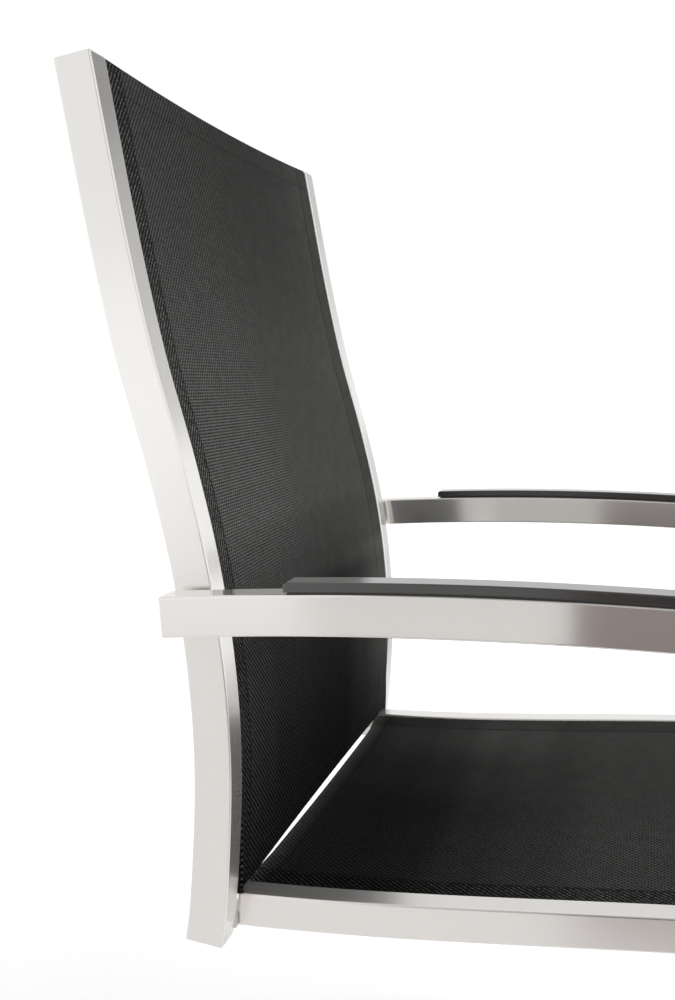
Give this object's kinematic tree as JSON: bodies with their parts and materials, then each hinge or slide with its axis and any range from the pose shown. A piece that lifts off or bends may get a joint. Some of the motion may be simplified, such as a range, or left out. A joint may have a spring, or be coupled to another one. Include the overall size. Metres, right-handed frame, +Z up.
{
  "type": "sling patio armchair",
  "caption": "High-back patio armchair with a bent rectangular steel tube frame, level arms with dark pads and black mesh slings for back and seat.",
  "frame": {"origin": "on the floor, under the middle of the chair's bounding box", "axes": "+Z up, -Y the way the sitter faces, +X towards the sitter's left"},
  "size_m": [0.546, 0.6218, 1.0833],
  "materials": {
    "brushed_steel": "brushed along the tubes, bright rounded edges",
    "sling_mesh": "coated black mesh, fine open basket weave",
    "arm_pad": "satin dark grey",
    "black_plastic": "moulded, matte"
  },
  "bodies": {
    "root": {"right_upright": "brushed_steel", "right_upright_top_plate": "brushed_steel", "right_upright_foot_plate": "brushed_steel", "right_seat_rail": "brushed_steel", "right_seat_rail_front_plate": "brushed_steel", "left_upright": "brushed_steel", "left_upright_top_plate": "brushed_steel", "left_upright_foot_plate": "brushed_steel", "left_seat_rail": "brushed_steel", "left_seat_rail_front_plate": "brushed_steel", "right_side_frame": "brushed_steel", "right_arm_rear_plate": "brushed_steel", "right_runner_rear_plate": "brushed_steel", "left_side_frame": "brushed_steel", "left_arm_rear_plate": "brushed_steel", "left_runner_rear_plate": "brushed_steel", "right_arm_pad": "arm_pad", "left_arm_pad": "arm_pad", "back_sling": "sling_mesh", "seat_sling": "sling_mesh", "right_back_sling_rod": "black_plastic", "right_seat_sling_rod": "black_plastic", "left_back_sling_rod": "black_plastic", "left_seat_sling_rod": "black_plastic", "back_top_bar": "brushed_steel", "back_lower_bar": "brushed_steel", "seat_rear_bar": "brushed_steel", "seat_front_bar": "brushed_steel", "base_rear_bar": "brushed_steel", "right_arm_block": "brushed_steel", "left_arm_block": "brushed_steel", "right_rail_bracket": "brushed_steel", "left_rail_bracket": "brushed_steel", "right_front_glide": "black_plastic", "right_rear_glide": "black_plastic", "left_front_glide": "black_plastic", "left_rear_glide": "black_plastic"}
  },
  "joints": []
}
